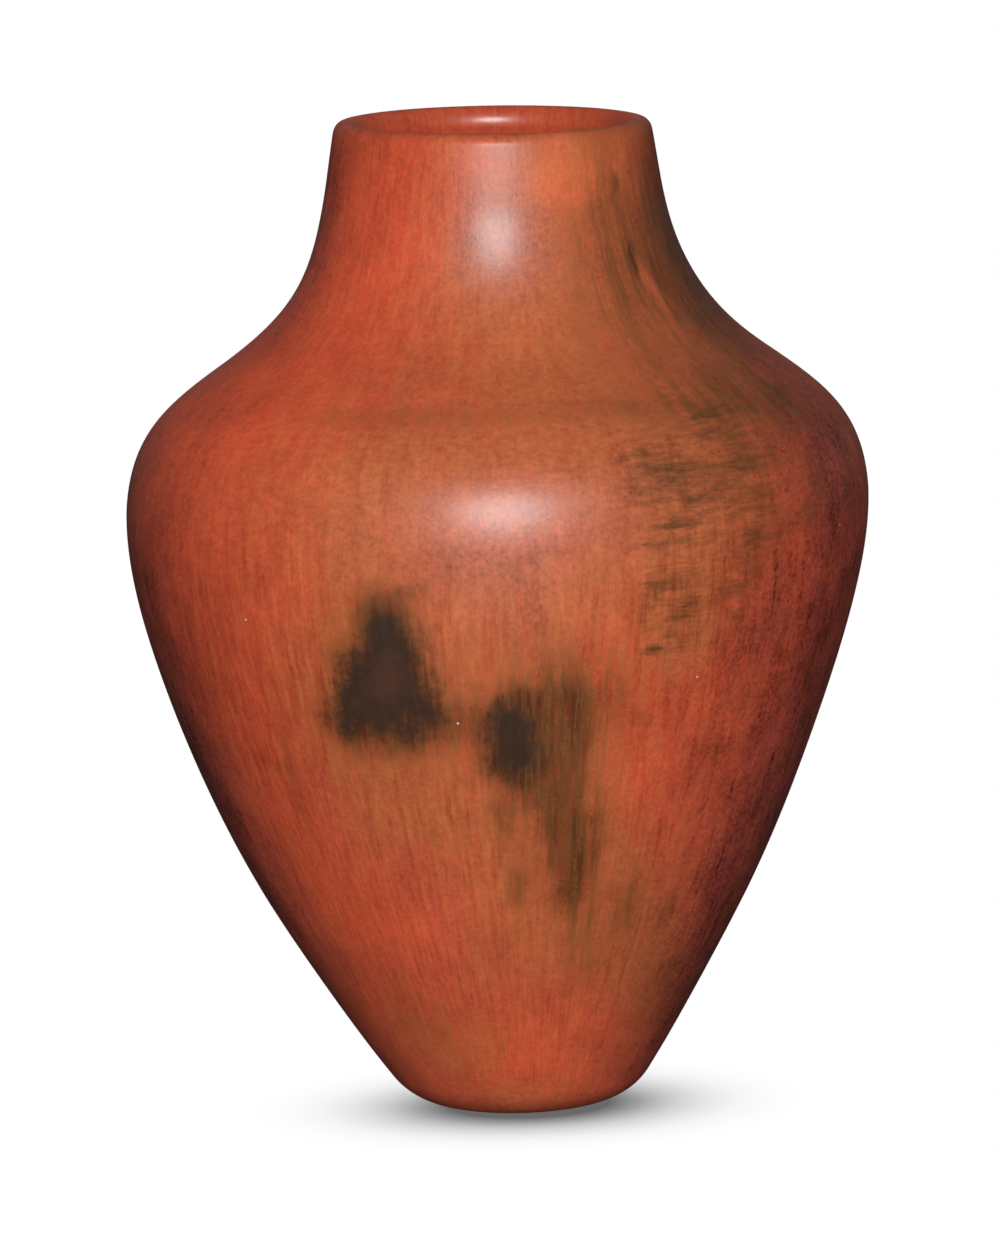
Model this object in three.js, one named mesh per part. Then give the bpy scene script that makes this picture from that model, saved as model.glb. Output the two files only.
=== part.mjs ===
// A hand-built redware vase: a base slab and the courses of clay coil that are joined on it.
// Millimetres, +Z up. The origin is the centre of the flat face that the vase rests on.
import * as THREE from 'three';

// Outer outline from the resting face up. Each height is measured from the level below it.
const baseRadius = 24; // flat resting face
const heelRadius = 22.5; // rounding between the resting face and the lower wall
const flankLean = 34.7; // degrees that the wall leans out where it leaves the heel
const flankHeight = 186; // heel to the widest level
const bellyRadius = 120.2;
const shoulderHeight = 49.2; // widest level to where the shoulder turns hollow
const shoulderRadius = 89.5;
const shoulderLean = 54.8; // degrees that the wall leans in there
const flareHeight = 55.2; // hollow curve up to the straight neck
const neckRadius = 54.7;
const neckHeight = 18.7; // straight neck up to the lip
const rimRadius = 51.4;
const lipRise = 5; // rounding over the top of the wall
const lipFall = 1.6; // how much lower the rounding ends on the inside

// Fullness of the curve on each side of a level: the length of its handle as a share of the chord.
const heelFullness = 0.295;
const bellyFullnessBelow = 0.26;
const bellyFullnessAbove = 0.46;
const shoulderFullnessBelow = 0.425;
const shoulderFullnessAbove = 0.41;
const neckFullness = 0.415;
const floorFullness = 0.3; // dish of the slab's inside

// The wall and its joints.
const wall = 7; // thickness of the courses after scraping
const lipThickness = 8.5;
const floorThickness = 8; // slab at its middle
const slabRise = 12; // turned-up edge of the slab above the heel
const lap = 10; // how far each course laps down inside the one below
const lowerWallCourses = 6;
const shoulderCourses = 2;
const neckCourses = 2;

// The hand-built wall stands a little to one side of a straight axis, mostly at mid-height.
const bow = 3.1;
const sway = 0.8;

// Facets round the pot, and steps along each curve.
const facets = 48;
const courseSteps = 3;
const heelSteps = 5;
const floorSteps = 4;
const lipSteps = 8;

// Burnished red slip, warmer and browner towards the shoulder.
const redSlip = new THREE.Color('#a5412b');
const brownSlip = new THREE.Color('#9a5030');
const slipRoughness = 0.38;

// Direction of a wall that leans out by an angle in degrees, going up: x is the radius, y the height.
function wallDirection(lean) {
  const angle = THREE.MathUtils.degToRad(lean);
  return new THREE.Vector2(Math.sin(angle), Math.cos(angle));
}

// A curve that leaves one level along its direction and arrives at the next along that one's.
function bulge(from, fromDirection, fromFullness, to, toDirection, toFullness) {
  const chord = from.distanceTo(to);
  const leaving = from.clone().addScaledVector(fromDirection, chord * fromFullness);
  const arriving = to.clone().addScaledVector(toDirection, -chord * toFullness);
  return new THREE.CubicBezierCurve(from, leaving, arriving, to);
}

const heelStart = -Math.PI / 2;
const heelEnd = -THREE.MathUtils.degToRad(flankLean);
const heel = new THREE.EllipseCurve(baseRadius, heelRadius, heelRadius, heelRadius, heelStart, heelEnd);

const heelTop = heel.getPoint(1);
const belly = new THREE.Vector2(bellyRadius, heelTop.y + flankHeight);
const shoulder = new THREE.Vector2(shoulderRadius, belly.y + shoulderHeight);
const neck = new THREE.Vector2(neckRadius, shoulder.y + flareHeight);
const rim = new THREE.Vector2(rimRadius, neck.y + neckHeight);

const flankDirection = wallDirection(flankLean);
const bellyDirection = wallDirection(0);
const shoulderDirection = wallDirection(-shoulderLean);
const neckDirection = rim.clone().sub(neck).normalize();

// The lip is a half-ellipse across the wall, and its slope to the inside takes a little off its height.
const lipTop = Math.hypot(lipRise, lipFall / 2) - lipFall / 2;
const vaseHeight = rim.y + lipTop * neckDirection.y;

const flank = bulge(heelTop, flankDirection, heelFullness, belly, bellyDirection, bellyFullnessBelow);
const round = bulge(
  belly, bellyDirection, bellyFullnessAbove, shoulder, shoulderDirection, shoulderFullnessBelow,
);
const flare = bulge(shoulder, shoulderDirection, shoulderFullnessAbove, neck, neckDirection, neckFullness);
const outline = new THREE.CurvePath();
outline.curves = [heel, flank, round, flare, new THREE.LineCurve(neck, rim)];

// Distances along the outline to the end of each stretch.
const [heelLength, bellyLength, shoulderLength, neckLength, rimLength] = outline.getCurveLengths();

function outerPoint(distance) {
  return outline.getPoint(distance / rimLength);
}

// The wall is even up to the neck and thickens towards the lip.
function thicknessAt(distance) {
  const towardsLip = THREE.MathUtils.clamp((distance - neckLength) / (rimLength - neckLength), 0, 1);
  return THREE.MathUtils.lerp(wall, lipThickness, towardsLip);
}

function innerPoint(distance) {
  const along = outline.getTangent(distance / rimLength);
  const inwards = new THREE.Vector2(-along.y, along.x);
  return outerPoint(distance).addScaledVector(inwards, thicknessAt(distance));
}

// Points of one face of the wall between two distances, both ends included.
function facePoints(pointAt, from, to) {
  const points = [];
  for (let step = 0; step <= courseSteps; step++) {
    points.push(pointAt(THREE.MathUtils.lerp(from, to, step / courseSteps)));
  }
  return points;
}

// Section of a course: up its outer face, over the joint and down its inner face, set lower by the lap.
function courseSection(from, to) {
  const outer = facePoints(outerPoint, from, to);
  const inner = facePoints(innerPoint, to - lap, from - lap);
  return [...outer, ...inner, outer[0]];
}

// The slab starts on the axis, turns up round the heel, and dishes back to the axis on its inside.
function slabSection(top) {
  const bottom = [new THREE.Vector2(0, 0)];
  const heelPoints = heel.getPoints(heelSteps);
  const edge = facePoints(outerPoint, heelLength, top).slice(1);
  const joint = innerPoint(top - lap);
  const jointDirection = outline.getTangent((top - lap) / rimLength).negate();
  const middle = new THREE.Vector2(0, floorThickness);
  const toMiddle = new THREE.Vector2(-1, 0);
  const floor = bulge(joint, jointDirection, floorFullness, middle, toMiddle, floorFullness);
  return [...bottom, ...heelPoints, ...edge, ...floor.getPoints(floorSteps)];
}

// The last course ends in a rounded lip from the outer face of the wall to the inner one.
function rimSection(from) {
  const outer = facePoints(outerPoint, from, rimLength);
  const lipEnd = rimLength - lipFall;
  const inside = innerPoint(lipEnd);
  const middle = rim.clone().lerp(inside, 0.5);
  const halfWidth = rim.clone().sub(middle);
  const lip = [];
  for (let step = 1; step < lipSteps; step++) {
    const angle = (Math.PI * step) / lipSteps;
    const point = middle.clone().addScaledVector(halfWidth, Math.cos(angle));
    lip.push(point.addScaledVector(neckDirection, lipRise * Math.sin(angle)));
  }
  const inner = facePoints(innerPoint, lipEnd, from - lap);
  return [...outer, ...lip, ...inner, outer[0]];
}

// Sideways place of the wall's axis at a height.
function axisDrift(z) {
  const halfWave = (Math.PI * z) / vaseHeight;
  return -bow * Math.sin(halfWave) - sway * Math.sin(2 * halfWave);
}

// A section turned into a closed ring or slab, stood up along +Z and set on the drifting axis.
function turnedPiece(name, section) {
  const geometry = new THREE.LatheGeometry(section, facets);
  geometry.rotateX(Math.PI / 2);
  const position = geometry.attributes.position;
  for (let vertex = 0; vertex < position.count; vertex++) {
    position.setX(vertex, position.getX(vertex) + axisDrift(position.getZ(vertex)));
  }
  geometry.computeVertexNormals();
  const rise = section[section.length - 1].y / vaseHeight;
  const color = redSlip.clone().lerp(brownSlip, rise);
  const material = new THREE.MeshStandardMaterial({ color, roughness: slipRoughness, metalness: 0 });
  const mesh = new THREE.Mesh(geometry, material);
  mesh.name = name;
  return mesh;
}

// Equal courses from one distance along the wall to another, numbered from the bottom.
function courses(name, from, to, count) {
  const course = (to - from) / count;
  const pieces = [];
  for (let number = 1; number <= count; number++) {
    const section = courseSection(from + course * (number - 1), from + course * number);
    pieces.push(turnedPiece(`${name}_${number}`, section));
  }
  return pieces;
}

const slabTop = heelLength + slabRise;

const vase = new THREE.Group();
vase.add(turnedPiece('base_slab', slabSection(slabTop)));
vase.add(...courses('lower_wall_coil', slabTop, bellyLength, lowerWallCourses));
vase.add(...courses('shoulder_coil', bellyLength, shoulderLength, shoulderCourses));
vase.add(...courses('neck_coil', shoulderLength, neckLength, neckCourses));
vase.add(turnedPiece('rim_coil', rimSection(neckLength)));

export default vase;
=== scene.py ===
"""A hand-built redware vase in burnished red slip, smoke-marked in an open firing. Metres, +Z up."""

import logging
import math
from collections.abc import Iterator, Sequence
from dataclasses import dataclass, field
from enum import Enum
from functools import cached_property
from typing import NamedTuple

import bmesh
import bpy
import numpy as np
from mathutils import Matrix, Vector, noise
from mathutils.geometry import interpolate_bezier


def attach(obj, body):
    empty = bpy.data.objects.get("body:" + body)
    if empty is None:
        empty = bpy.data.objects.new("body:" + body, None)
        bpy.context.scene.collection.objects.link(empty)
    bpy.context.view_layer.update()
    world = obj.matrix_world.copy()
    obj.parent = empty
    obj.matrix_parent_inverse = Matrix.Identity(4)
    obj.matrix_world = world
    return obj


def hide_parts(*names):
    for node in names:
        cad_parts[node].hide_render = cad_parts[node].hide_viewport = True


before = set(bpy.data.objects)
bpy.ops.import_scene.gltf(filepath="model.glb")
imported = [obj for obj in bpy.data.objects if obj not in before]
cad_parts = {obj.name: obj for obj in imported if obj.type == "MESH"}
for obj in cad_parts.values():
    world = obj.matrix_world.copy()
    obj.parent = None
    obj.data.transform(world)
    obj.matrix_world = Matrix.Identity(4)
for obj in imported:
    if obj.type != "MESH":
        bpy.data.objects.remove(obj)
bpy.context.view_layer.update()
BODY = "root"
log = logging.getLogger("redware_vase")

Colour = tuple[float, float, float, float]
Span = tuple[float, float]
Stops = Sequence[tuple[float, float]]  # a place and a grey each

MERGE_DISTANCE = 1e-6  # points of a turned mesh that are this close are one


def ramp(value: float, low: float, high: float) -> float:
    """How far a value has come from low to high, from 0 to 1."""
    return min(max((value - low) / (high - low), 0.0), 1.0)


def turn_round(shape: bmesh.types.BMesh, section: list[bmesh.types.BMVert], closed: bool, steps: int) -> None:
    """Turns a section about the upright axis into a surface that faces outwards.

    Args:
        shape: The mesh that holds the section.
        section: Points of the section in order.
        closed: Whether the last point is joined to the first.
        steps: Number of steps round the axis.
    """
    ends = section[1:] + section[:1] if closed else section[1:]
    edges = [shape.edges.new(pair) for pair in zip(section, ends)]
    bmesh.ops.spin(
        shape,
        geom=section + edges,
        cent=(0, 0, 0),
        axis=(0, 0, 1),
        angle=2 * math.pi,
        steps=steps,
        use_merge=True,
    )
    bmesh.ops.remove_doubles(shape, verts=shape.verts, dist=MERGE_DISTANCE)
    bmesh.ops.recalc_face_normals(shape, faces=shape.faces)


def add_object(data: bpy.types.ID) -> bpy.types.Object:
    """Puts a mesh, a light or a camera into the scene.

    Args:
        data: What the object shows, which also names it.

    Returns:
        The object.
    """
    made = bpy.data.objects.new(data.name, data)
    bpy.context.collection.objects.link(made)
    return made


def add_mesh(name: str, shape: bmesh.types.BMesh) -> bpy.types.Object:
    """Puts a finished shape into the scene.

    Args:
        name: Name of the mesh and of its object.
        shape: The shape, which is freed.

    Returns:
        The object.
    """
    mesh = bpy.data.meshes.new(name)
    shape.to_mesh(mesh)
    shape.free()
    return add_object(mesh)


class Station(NamedTuple):
    """One point of a course's section before it is turned about the axis."""

    radius: float
    height: float
    rise: float  # distance along the wall from the edge of the resting face, over the lip and down the inside
    corner: bool = False  # the edge of a joint, where the surface turns sharply


@dataclass(frozen=True)
class Outline:
    """Outer line of the wall from the resting face to the lip, and the clay behind it.

    A place on the line is its distance from the edge of the resting face. A point is (radius, height).
    """

    base_radius: float = 0.024
    heel_radius: float = 0.0225
    flank_lean: float = 34.7  # degrees outwards where the wall leaves the heel
    flank_height: float = 0.186
    belly_radius: float = 0.1202
    shoulder_height: float = 0.0492
    shoulder_radius: float = 0.0895
    shoulder_lean: float = 54.8  # degrees inwards where the shoulder turns hollow
    flare_height: float = 0.0552
    neck_radius: float = 0.0547
    neck_height: float = 0.0187
    rim_radius: float = 0.0514
    lip_rise: float = 0.005
    lip_fall: float = 0.0016  # the lip's inner side starts lower than its outer side
    heel_fullness: float = 0.295
    belly_fullness_below: float = 0.26
    belly_fullness_above: float = 0.46
    shoulder_fullness_below: float = 0.425
    shoulder_fullness_above: float = 0.41
    neck_fullness: float = 0.415
    floor_fullness: float = 0.3
    wall: float = 0.007
    lip_thickness: float = 0.0085
    floor_thickness: float = 0.008
    slab_rise: float = 0.012
    lap: float = 0.010
    curve_points: int = 400  # points that a stretch is measured by
    least_step: float = 1e-9  # a shorter step is the same point met twice
    direction_reach: float = 1e-4  # a direction is taken this far to each side

    @staticmethod
    def wall_direction(lean: float) -> Vector:
        """Direction of a wall that leans out by this many degrees, going up."""
        return Vector((math.sin(math.radians(lean)), math.cos(math.radians(lean))))

    def bulge(self, start: Vector, leaving: Vector, end: Vector, arriving: Vector) -> list[Vector]:
        """A curve between two levels of the wall.

        Args:
            start: Where the curve begins.
            leaving: The handle from there, as a direction times a length.
            end: Where the curve ends.
            arriving: The handle into the end.

        Returns:
            Points of the curve, both ends included.
        """
        knots = (start, start + leaving, end - arriving, end)
        return [p.to_2d() for p in interpolate_bezier(*(k.to_3d() for k in knots), self.curve_points)]

    @cached_property
    def stretches(self) -> list[list[Vector]]:
        """Points of the heel, the flank, the round of the belly, the flare and the neck, in that order."""
        turns = np.linspace(-math.pi / 2, -math.radians(self.flank_lean), self.curve_points)
        centre = Vector((self.base_radius, self.heel_radius))
        heel = [centre + self.heel_radius * Vector((math.cos(turn), math.sin(turn))) for turn in turns]
        belly = Vector((self.belly_radius, heel[-1].y + self.flank_height))
        shoulder = Vector((self.shoulder_radius, belly.y + self.shoulder_height))
        neck = Vector((self.neck_radius, shoulder.y + self.flare_height))
        rim = Vector((self.rim_radius, neck.y + self.neck_height))
        flank_way = self.wall_direction(self.flank_lean) * (belly - heel[-1]).length
        belly_way = self.wall_direction(0.0)
        shoulder_way = self.wall_direction(-self.shoulder_lean)
        neck_way = (rim - neck).normalized()
        upright = belly_way * (belly - heel[-1]).length
        round_chord = (shoulder - belly).length
        flare_chord = (neck - shoulder).length
        flank = self.bulge(
            heel[-1], flank_way * self.heel_fullness, belly, upright * self.belly_fullness_below
        )
        belly_round = self.bulge(
            belly,
            belly_way * round_chord * self.belly_fullness_above,
            shoulder,
            shoulder_way * round_chord * self.shoulder_fullness_below,
        )
        flare = self.bulge(
            shoulder,
            shoulder_way * flare_chord * self.shoulder_fullness_above,
            neck,
            neck_way * flare_chord * self.neck_fullness,
        )
        return [heel, flank, belly_round, flare, [neck, rim]]

    @cached_property
    def line(self) -> np.ndarray:
        """Rows of distance, radius and height along the whole line."""
        points = np.array([tuple(p) for stretch in self.stretches for p in stretch])
        steps = np.linalg.norm(np.diff(points, axis=0), axis=1)
        keep = np.concatenate([[True], steps > self.least_step])
        distance = np.concatenate([[0.0], np.cumsum(steps)])
        return np.column_stack([distance, points])[keep]

    @cached_property
    def levels(self) -> list[float]:
        """Distances to the end of each stretch: heel, belly, shoulder, neck and rim."""
        lengths = [sum((b - a).length for a, b in zip(s, s[1:])) for s in self.stretches]
        return [float(d) for d in np.cumsum(lengths)]

    @property
    def rim_distance(self) -> float:
        """Distance to where the lip begins."""
        return self.levels[-1]

    @property
    def slab_top(self) -> float:
        """Distance to the upper edge of the slab."""
        return self.levels[0] + self.slab_rise

    @cached_property
    def height(self) -> float:
        """Height of the finished vase."""
        rim, reach = self.stretches[-1][-1], self.lip_fall / 2
        return rim.y + (math.hypot(self.lip_rise, reach) - reach) * self.direction(self.rim_distance).y

    def outer_point(self, distance: float) -> Vector:
        """Point of the outer face."""
        along, radius, height = self.line.T
        return Vector((np.interp(distance, along, radius), np.interp(distance, along, height)))

    def direction(self, distance: float) -> Vector:
        """Direction of the wall, going up.

        Args:
            distance: Place on the line.

        Returns:
            The direction, one unit long.
        """
        low = max(distance - self.direction_reach, 0.0)
        high = min(distance + self.direction_reach, self.rim_distance)
        return (self.outer_point(high) - self.outer_point(low)).normalized()

    def inner_point(self, distance: float) -> Vector:
        """Point of the inner face; the wall thickens along the neck.

        Args:
            distance: Place on the line.

        Returns:
            The point behind that place.
        """
        neck = self.levels[-2]
        thickness = np.interp(distance, [neck, self.rim_distance], [self.wall, self.lip_thickness])
        way = self.direction(distance)
        return self.outer_point(distance) + Vector((-way.y, way.x)) * float(thickness)

    @property
    def lip_length(self) -> float:
        """Length of the rounding over the lip."""
        return math.pi * math.sqrt((self.lip_rise**2 + (self.lip_thickness / 2) ** 2) / 2)

    def rise_inside(self, distance: float) -> float:
        """Rise of the inner face behind a place on the line, counted on over the lip."""
        return 2 * self.rim_distance - self.lip_fall + self.lip_length - distance


@dataclass(frozen=True)
class HandShaping:
    """How the hand-built wall departs from a turned one."""

    outline: Outline
    bow: float = 0.0031  # sideways lean of the axis at mid-height
    sway: float = 0.0008
    neck_set: float = 0.00085  # the neck was joined a little to the right
    neck_set_height: float = 0.266
    neck_set_reach: float = 0.018
    swell: float = 0.0006  # slow rings left by pressing the courses together
    swell_wave: float = 0.122
    swell_crest: float = 0.197
    swell_span: Span = (0.02, 0.225)
    swell_fade: tuple[float, float] = (0.05, 0.025)  # lengths at the lower and upper end
    ripple: float = 0.0003  # uneven swellings round the wall
    ripples_round: float = 1.7
    ripples_up: float = 19.0  # per metre
    ripple_span: Span = (0.004, 0.03)
    mouth_slope: tuple[float, float] = (-0.0166, 0.01)  # the mouth dips to the right and to the front
    lip_flick: float = 0.0003  # slight outward turn under the lip
    lip_flick_span: Span = (0.302, 0.316)

    def drift(self, height: float) -> float:
        """How far the wall's axis has drifted to the right.

        Args:
            height: Height on the wall.

        Returns:
            The sideways place of the axis.
        """
        half_wave = math.pi * height / self.outline.height
        neck = math.exp(-(((height - self.neck_set_height) / self.neck_set_reach) ** 2))
        return self.neck_set * neck - self.bow * math.sin(half_wave) - self.sway * math.sin(2 * half_wave)

    def swelling(self, way: Vector, height: float) -> float:
        """How far the wall swells out.

        Args:
            way: Level direction from the axis.
            height: Height on the wall.

        Returns:
            The swelling, which may be less than nothing.
        """
        low, high = self.swell_span
        fade_in, fade_out = self.swell_fade
        fade = ramp(height, low, low + fade_in) * ramp(height, high, high - fade_out)
        rings = math.cos(2 * math.pi * (height - self.swell_crest) / self.swell_wave)
        seat = way * self.ripples_round + Vector((0.0, 0.0, height * self.ripples_up))
        uneven = noise.noise(seat) * ramp(height, *self.ripple_span)
        flick = self.lip_flick * ramp(height, *self.lip_flick_span)
        return self.swell * fade * rings + self.ripple * uneven + flick

    def place(self, at: Vector) -> Vector:
        """Moves a point of the turned wall to where the hands left it.

        Args:
            at: A point of the turned wall.

        Returns:
            The point on the hand-built wall.
        """
        way = Vector((at.x, at.y, 0.0))
        way.normalize()
        moved = at + way * self.swelling(way, at.z)
        moved.x += self.drift(at.z)
        _, _, _, flare, _ = self.outline.stretches
        tilt = ramp(at.z, flare[0].y, flare[-1].y)
        moved.z += (self.mouth_slope[0] * at.x + self.mouth_slope[1] * at.y) * tilt
        return moved


@dataclass
class Course:
    """One course of coil: its outer face, and an inner face that laps down behind the course below."""

    node: str
    outline: Outline
    shaping: HandShaping
    start: float
    end: float
    row: float = 0.0012  # rows of the outer face
    inner_row: float = 0.004
    edge_row: float = 0.00015  # a row this close to each joint keeps the surface smooth across it
    turns: int = 480

    def rows(self, start: float, end: float, row: float) -> list[float]:
        """Distances from one joint to the other.

        Args:
            start: Distance of the first joint.
            end: Distance of the second, which may be the lower one.
            row: Greatest step between rows.

        Returns:
            The distances, with one row close to each joint.
        """
        count = max(2, math.ceil(abs(end - start) / row))
        even = np.linspace(start, end, count + 1)
        edge = math.copysign(self.edge_row, end - start)
        return [float(d) for d in (start, start + edge, *even[1:-1], end - edge, end)]

    def outer_stations(self, start: float, end: float) -> list[Station]:
        """Stations up the outer face between two joints."""
        rows = self.rows(start, end, self.row)
        return [Station(*self.outline.outer_point(d), d, d in (rows[0], rows[-1])) for d in rows]

    def inner_stations(self, start: float, end: float) -> list[Station]:
        """Stations down the inner face between two joints.

        Args:
            start: Distance of the upper joint.
            end: Distance of the lower joint.

        Returns:
            The stations.
        """
        rows = self.rows(start, end, self.inner_row)
        rise = self.outline.rise_inside
        return [Station(*self.outline.inner_point(d), rise(d), d in (rows[0], rows[-1])) for d in rows]

    def section(self) -> list[Station]:
        """Section up the outer face, over the joint and down the inner face.

        Returns:
            The stations in order.
        """
        lap = self.outline.lap
        return [
            *self.outer_stations(self.start, self.end),
            *self.inner_stations(self.end - lap, self.start - lap),
        ]

    def build(self) -> bpy.types.Object:
        """Turns the section about the axis and shapes it by hand.

        Returns:
            The finished piece, standing in its place.
        """
        section = self.section()
        clay = bmesh.new()
        rise = clay.verts.layers.float.new("rise")
        station = clay.verts.layers.int.new("station")
        ring = []
        for index, at in enumerate(section):
            point = clay.verts.new((at.radius, 0.0, at.height))
            point[rise], point[station] = at.rise, index
            ring.append(point)
        reaches_axis = min(at.radius for at in section) <= 0
        turn_round(clay, ring, not reaches_axis, self.turns)
        for face in clay.faces:
            face.smooth = True
        for edge in clay.edges:
            first, second = (v[station] for v in edge.verts)
            edge.smooth = not (first == second and section[first].corner)
        for point in clay.verts:
            point.co = self.shaping.place(point.co)
        return add_mesh(f"burnished_{self.node}", clay)


@dataclass
class BaseSlab(Course):
    """The slab that the vase rests on, turned up round the heel and dished inside."""

    underside_rows: int = 8
    floor_rows: int = 14

    def section(self) -> list[Station]:
        """Section from the axis under the slab, round the heel and back to the axis inside.

        Returns:
            The stations in order.
        """
        line = self.outline
        radii = np.linspace(0.0, line.base_radius, self.underside_rows)[:-1]
        underside = [Station(float(r), 0.0, float(r) - line.base_radius) for r in radii]
        outer = self.outer_stations(self.start, self.end)
        outer[0] = outer[0]._replace(corner=False)
        joint = line.inner_point(self.end - line.lap)
        middle = Vector((0.0, line.floor_thickness))
        handle = (middle - joint).length * line.floor_fullness
        curve = line.bulge(
            joint, -line.direction(self.end - line.lap) * handle, middle, Vector((-1.0, 0.0)) * handle
        )
        floor = []
        rise = line.rise_inside(self.end - line.lap)
        picks = [round(i) for i in np.linspace(0, len(curve) - 1, self.floor_rows)]
        for before, at in zip([picks[0], *picks], picks):
            rise += (curve[at] - curve[before]).length
            floor.append(Station(curve[at].x, curve[at].y, rise, at == 0))
        floor[-1] = floor[-1]._replace(radius=0.0)
        return [*underside, *outer, *floor]


@dataclass
class RimCourse(Course):
    """The last course: the short straight neck and the rounded lip."""

    lip_rows: int = 18

    def section(self) -> list[Station]:
        """Section up the neck, over the lip and down the inside.

        Returns:
            The stations in order.
        """
        line = self.outline
        outer = self.outer_stations(self.start, self.end)
        outer[-1] = outer[-1]._replace(corner=False)
        outside, inside = line.outer_point(self.end), line.inner_point(self.end - line.lip_fall)
        middle = (outside + inside) / 2
        lip = []
        for step in range(1, self.lip_rows):
            share = step / self.lip_rows
            across = (outside - middle) * math.cos(math.pi * share)
            over = line.direction(self.end) * line.lip_rise * math.sin(math.pi * share)
            lip.append(Station(*(middle + across + over), self.end + line.lip_length * share))
        inner = self.inner_stations(self.end - line.lip_fall, self.start - line.lap)
        inner[0] = inner[0]._replace(corner=False)
        return [*outer, *lip, *inner]


class Field:
    """A socket in a node tree that is used like a number: arithmetic on it adds Math nodes."""

    def __init__(self, shader: "Shader", socket: bpy.types.NodeSocket) -> None:
        """Wraps a socket of a shader's tree."""
        self.shader = shader
        self.socket = socket

    def __add__(self, other: "Field | float") -> "Field":
        """Sum."""
        return self.shader.math("ADD", self, other)

    def __sub__(self, other: "Field | float") -> "Field":
        """Difference."""
        return self.shader.math("SUBTRACT", self, other)

    def __rsub__(self, other: float) -> "Field":
        """Difference from a number."""
        return self.shader.math("SUBTRACT", other, self)

    def __mul__(self, other: "Field | float") -> "Field":
        """Product."""
        return self.shader.math("MULTIPLY", self, other)

    __radd__ = __add__
    __rmul__ = __mul__


class Shader:
    """The nodes of one material or of the world."""

    def __init__(self, tree: bpy.types.NodeTree) -> None:
        """Starts from an empty tree."""
        self.tree = tree
        tree.nodes.clear()

    def node(self, kind: str, settings: dict | None = None, inputs: dict | None = None) -> bpy.types.Node:
        """Adds a node.

        Args:
            kind: The node's type name.
            settings: Properties that are set first. stops fills a colour ramp.
            inputs: Sockets by name or number, each with a value or the field that feeds it.

        Returns:
            The node.
        """
        made = self.tree.nodes.new(kind)
        for name, value in (settings or {}).items():
            if name == "stops":
                self.fill_ramp(made.color_ramp, value)
            else:
                setattr(made, name, value)
        for name, value in (inputs or {}).items():
            if isinstance(value, Field):
                self.tree.links.new(value.socket, made.inputs[name])
            else:
                made.inputs[name].default_value = value
        return made

    @staticmethod
    def fill_ramp(ramp: bpy.types.ColorRamp, stops: Stops) -> None:
        """Sets a ramp's stops.

        Args:
            ramp: The ramp.
            stops: The stops from left to right.
        """
        while len(ramp.elements) < len(stops):
            ramp.elements.new(1.0)
        for element, (place, grey) in zip(ramp.elements, stops):
            element.position = place
            element.color = (grey, grey, grey, 1.0)

    def field(self, node: bpy.types.Node, output: str | int = 0) -> Field:
        """One output of a node."""
        return Field(self, node.outputs[output])

    def math(self, operation: str, *values: Field | float) -> Field:
        """A Math node on these values."""
        return self.field(self.node("ShaderNodeMath", {"operation": operation}, dict(enumerate(values))))


class Stain(Enum):
    """What the slip and the open fire left on the wall, and the painted shade among it; each is an attribute
    of the meshes.
    """

    BRIGHT = "bright"  # lighter, brighter red in places
    TAN = "tan"  # slip fired browner
    PLUM = "plum"  # dark purple-red in patches, and painted shade near the edges seen from the front and under the highlights
    HAZE = "haze"  # thin brown smoke
    BLOT = "blot"  # small smears and spots of smoke
    SOOT = "soot"  # depth inside a charcoal cloud, less than nothing outside it


class Patch(NamedTuple):
    """An oval patch on the wall, half as strong at its edge as in its middle."""

    angle: float  # degrees from the front, positive to the right
    rise: float
    width: float  # from the middle to the edge, and so is the height
    height: float
    amount: float = 1.0
    hardness: float = 4.0  # how sharply it ends
    lean: float = 0.0  # degrees that its top leans to the right


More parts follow.
